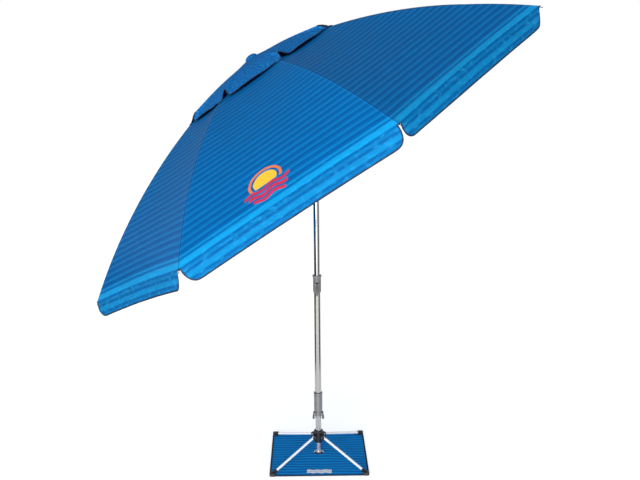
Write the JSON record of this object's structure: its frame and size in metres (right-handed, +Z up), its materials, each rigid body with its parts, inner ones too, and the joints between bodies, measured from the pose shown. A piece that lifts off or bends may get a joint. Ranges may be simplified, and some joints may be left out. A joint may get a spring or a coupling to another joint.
{
  "type": "tilting beach umbrella",
  "caption": "Blue striped beach umbrella with a vented canopy tilted to one side, on a telescoping metal mast whose fold-out square cloth base is held down with sand.",
  "frame": {"origin": "underside of the foot, on the ground under the mast", "axes": "+Z up along the mast, the open canopy leans towards -X, +Y away from the viewer"},
  "size_m": [1.8188, 2.1614, 2.0365],
  "materials": {
    "canopy_cloth": "satin",
    "sheet_cloth": "matte",
    "polished_tube": "polished",
    "satin_tube": "satin",
    "leg_tube": "satin",
    "stretcher_metal": "satin",
    "steel_pins": "satin",
    "grey_plastic": "satin",
    "black_plastic": "satin",
    "rib_rod": "gloss"
  },
  "bodies": {
    "mast": {"centre_post": "polished_tube", "foot_socket": "black_plastic", "leg_hub": "black_plastic", "hub_pins": "steel_pins", "anchor_tube": "polished_tube", "coupling_sleeve": "grey_plastic", "middle_tube": "satin_tube", "height_collar": "grey_plastic"},
    "tab_right": {"release_tab_right": "grey_plastic"},
    "tab_left": {"release_tab_left": "grey_plastic"},
    "lever": {"height_lever": "grey_plastic"},
    "upper": {"upper_tube": "polished_tube", "tube_bushing": "black_plastic", "tilt_housing": "grey_plastic", "tilt_pin": "steel_pins"},
    "tilt_push": {"tilt_button": "black_plastic"},
    "head": {"tilt_tongue": "grey_plastic", "stub_tube": "polished_tube", "crown": "grey_plastic", "crown_pins": "steel_pins", "top_cap": "black_plastic"},
    "runner": {"runner": "grey_plastic"},
    "runner_push": {"runner_button": "black_plastic"},
    "rib_1": {"rib_1": "rib_rod", "gore_1": "canopy_cloth"},
    "strut_1": {"stretcher_1": "stretcher_metal"},
    "rib_2": {"rib_2": "rib_rod", "gore_2": "canopy_cloth"},
    "strut_2": {"stretcher_2": "stretcher_metal"},
    "rib_3": {"rib_3": "rib_rod", "gore_3": "canopy_cloth"},
    "strut_3": {"stretcher_3": "stretcher_metal"},
    "rib_4": {"rib_4": "rib_rod", "gore_4": "canopy_cloth"},
    "strut_4": {"stretcher_4": "stretcher_metal"},
    "rib_5": {"rib_5": "rib_rod", "gore_5": "canopy_cloth"},
    "strut_5": {"stretcher_5": "stretcher_metal"},
    "rib_6": {"rib_6": "rib_rod", "gore_6": "canopy_cloth"},
    "strut_6": {"stretcher_6": "stretcher_metal"},
    "rib_7": {"rib_7": "rib_rod", "gore_7": "canopy_cloth"},
    "strut_7": {"stretcher_7": "stretcher_metal"},
    "rib_8": {"rib_8": "rib_rod", "gore_8": "canopy_cloth"},
    "strut_8": {"stretcher_8": "stretcher_metal"},
    "leg_back_right": {"leg_back_right": "leg_tube", "cap_back_right": "black_plastic", "sheet_back_right": "sheet_cloth"},
    "leg_back_left": {"leg_back_left": "leg_tube", "cap_back_left": "black_plastic", "sheet_back_left": "sheet_cloth"},
    "leg_front_left": {"leg_front_left": "leg_tube", "cap_front_left": "black_plastic", "sheet_front_left": "sheet_cloth"},
    "leg_front_right": {"leg_front_right": "leg_tube", "cap_front_right": "black_plastic", "sheet_front_right": "sheet_cloth"}
  },
  "joints": [
    {"name": "tab_right_press", "type": "hinge", "parent": "mast", "child": "tab_right", "pos_m": [0.0202, 0, 0.204], "axis": [0, 1, 0], "range_deg": [0, 6], "stiffness_Nm_per_rad": 0.5},
    {"name": "tab_left_press", "type": "hinge", "parent": "mast", "child": "tab_left", "pos_m": [-0.0202, 0, 0.204], "axis": [0, -1, 0], "range_deg": [0, 6], "stiffness_Nm_per_rad": 0.5},
    {"name": "lever_flip", "type": "hinge", "parent": "mast", "child": "lever", "pos_m": [0, -0.0236, 0.824], "axis": [-1, 0, 0], "range_deg": [0, 85]},
    {"name": "height_slide", "type": "slide", "parent": "mast", "child": "upper", "axis": [0, 0, 1], "range_m": [-0.35, 0.06]},
    {"name": "tilt_button_press", "type": "slide", "parent": "upper", "child": "tilt_push", "axis": [0, 1, 0], "range_m": [0, 0.003], "stiffness_N_per_m": 400},
    {"name": "canopy_tilt", "type": "hinge", "parent": "upper", "child": "head", "pos_m": [0, 0, 1.409], "axis": [0, 1, 0], "range_deg": [0, 33.8]},
    {"name": "runner_slide", "type": "slide", "parent": "head", "child": "runner", "axis": [0.5563, 0, -0.831], "range_m": [0, 0.20837]},
    {"name": "runner_button_press", "type": "slide", "parent": "runner", "child": "runner_push", "axis": [0, 1, 0], "range_m": [0, 0.0025], "stiffness_N_per_m": 400},
    {"name": "rib_1_fold", "type": "hinge", "parent": "head", "child": "rib_1", "pos_m": [-0.2379, -0.01301, 1.80691], "axis": [0.4003, 0.8763, 0.268], "range_deg": [0, 64.5], "deforming": ["gore_1"]},
    {"name": "strut_1_turn", "type": "hinge", "parent": "rib_1", "child": "strut_1", "pos_m": [-0.10267, -0.09153, 1.86166], "axis": [-0.4003, -0.8763, -0.268], "range_deg": [0, 106.37]},
    {"name": "rib_2_fold", "type": "hinge", "parent": "head", "child": "rib_2", "pos_m": [-0.25131, -0.02593, 1.79794], "axis": [0.798, 0.279, 0.5342], "range_deg": [0, 64.5], "deforming": ["gore_2"]},
    {"name": "strut_2_turn", "type": "hinge", "parent": "rib_2", "child": "strut_2", "pos_m": [-0.19698, -0.18246, 1.79853], "axis": [-0.798, -0.279, -0.5342], "range_deg": [0, 106.37]},
    {"name": "rib_3_fold", "type": "hinge", "parent": "head", "child": "rib_3", "pos_m": [-0.26837, -0.02366, 1.78651], "axis": [0.7282, -0.4818, 0.4875], "range_deg": [0, 64.5], "deforming": ["gore_3"]},
    {"name": "strut_3_turn", "type": "hinge", "parent": "rib_3", "child": "strut_3", "pos_m": [-0.31709, -0.1665, 1.71812], "axis": [-0.7282, 0.4818, -0.4875], "range_deg": [0, 106.37]},
    {"name": "rib_4_fold", "type": "hinge", "parent": "head", "child": "rib_4", "pos_m": [-0.27911, -0.00753, 1.77932], "axis": [0.2318, -0.9603, 0.1552], "range_deg": [0, 64.5], "deforming": ["gore_4"]},
    {"name": "strut_4_turn", "type": "hinge", "parent": "rib_4", "child": "strut_4", "pos_m": [-0.39264, -0.05301, 1.66754], "axis": [-0.2318, 0.9603, -0.1552], "range_deg": [0, 106.37]},
    {"name": "rib_5_fold", "type": "hinge", "parent": "head", "child": "rib_5", "pos_m": [-0.27723, 0.01301, 1.78058], "axis": [-0.4003, -0.8763, -0.268], "range_deg": [0, 64.5], "deforming": ["gore_5"]},
    {"name": "strut_5_turn", "type": "hinge", "parent": "rib_5", "child": "strut_5", "pos_m": [-0.37938, 0.09153, 1.67642], "axis": [0.4003, 0.8763, 0.268], "range_deg": [0, 106.37]},
    {"name": "rib_6_fold", "type": "hinge", "parent": "head", "child": "rib_6", "pos_m": [-0.26382, 0.02593, 1.78956], "axis": [-0.798, -0.279, -0.5342], "range_deg": [0, 64.5], "deforming": ["gore_6"]},
    {"name": "strut_6_turn", "type": "hinge", "parent": "rib_6", "child": "strut_6", "pos_m": [-0.28508, 0.18246, 1.73955], "axis": [0.798, 0.279, 0.5342], "range_deg": [0, 106.37]},
    {"name": "rib_7_fold", "type": "hinge", "parent": "head", "child": "rib_7", "pos_m": [-0.24676, 0.02366, 1.80098], "axis": [-0.7282, 0.4818, -0.4875], "range_deg": [0, 64.5], "deforming": ["gore_7"]},
    {"name": "strut_7_turn", "type": "hinge", "parent": "rib_7", "child": "strut_7", "pos_m": [-0.16496, 0.1665, 1.81996], "axis": [0.7282, -0.4818, 0.4875], "range_deg": [0, 106.37]},
    {"name": "rib_8_fold", "type": "hinge", "parent": "head", "child": "rib_8", "pos_m": [-0.23602, 0.00753, 1.80817], "axis": [-0.2318, 0.9603, -0.1552], "range_deg": [0, 64.5], "deforming": ["gore_8"]},
    {"name": "strut_8_turn", "type": "hinge", "parent": "rib_8", "child": "strut_8", "pos_m": [-0.08941, 0.05301, 1.87054], "axis": [0.2318, -0.9603, 0.1552], "range_deg": [0, 106.37]},
    {"name": "leg_back_right_fold", "type": "hinge", "parent": "mast", "child": "leg_back_right", "pos_m": [0.02121, 0.02121, 0.092], "axis": [-0.7071, 0.7071, 0], "range_deg": [0, 65], "deforming": ["sheet_back_right"]},
    {"name": "leg_back_left_fold", "type": "hinge", "parent": "mast", "child": "leg_back_left", "pos_m": [-0.02121, 0.02121, 0.092], "axis": [-0.7071, -0.7071, 0], "range_deg": [0, 65], "deforming": ["sheet_back_left"]},
    {"name": "leg_front_left_fold", "type": "hinge", "parent": "mast", "child": "leg_front_left", "pos_m": [-0.02121, -0.02121, 0.092], "axis": [0.7071, -0.7071, 0], "range_deg": [0, 65], "deforming": ["sheet_front_left"]},
    {"name": "leg_front_right_fold", "type": "hinge", "parent": "mast", "child": "leg_front_right", "pos_m": [0.02121, -0.02121, 0.092], "axis": [0.7071, 0.7071, 0], "range_deg": [0, 65], "deforming": ["sheet_front_right"]}
  ],
  "couplings": [
    {"joint": "strut_1_turn", "follows": "rib_1_fold", "ratio": 1.6492},
    {"joint": "rib_2_fold", "follows": "rib_1_fold", "ratio": 1},
    {"joint": "strut_2_turn", "follows": "rib_1_fold", "ratio": 1.6492},
    {"joint": "rib_3_fold", "follows": "rib_1_fold", "ratio": 1},
    {"joint": "strut_3_turn", "follows": "rib_1_fold", "ratio": 1.6492},
    {"joint": "rib_4_fold", "follows": "rib_1_fold", "ratio": 1},
    {"joint": "strut_4_turn", "follows": "rib_1_fold", "ratio": 1.6492},
    {"joint": "rib_5_fold", "follows": "rib_1_fold", "ratio": 1},
    {"joint": "strut_5_turn", "follows": "rib_1_fold", "ratio": 1.6492},
    {"joint": "rib_6_fold", "follows": "rib_1_fold", "ratio": 1},
    {"joint": "strut_6_turn", "follows": "rib_1_fold", "ratio": 1.6492},
    {"joint": "rib_7_fold", "follows": "rib_1_fold", "ratio": 1},
    {"joint": "strut_7_turn", "follows": "rib_1_fold", "ratio": 1.6492},
    {"joint": "rib_8_fold", "follows": "rib_1_fold", "ratio": 1},
    {"joint": "strut_8_turn", "follows": "rib_1_fold", "ratio": 1.6492},
    {"joint": "runner_slide", "follows": "rib_1_fold", "m_per_rad": 0.1851},
    {"joint": "leg_back_right_fold", "follows": "leg_front_left_fold", "ratio": 1},
    {"joint": "leg_back_left_fold", "follows": "leg_front_left_fold", "ratio": 1},
    {"joint": "leg_front_right_fold", "follows": "leg_front_left_fold", "ratio": 1}
  ]
}
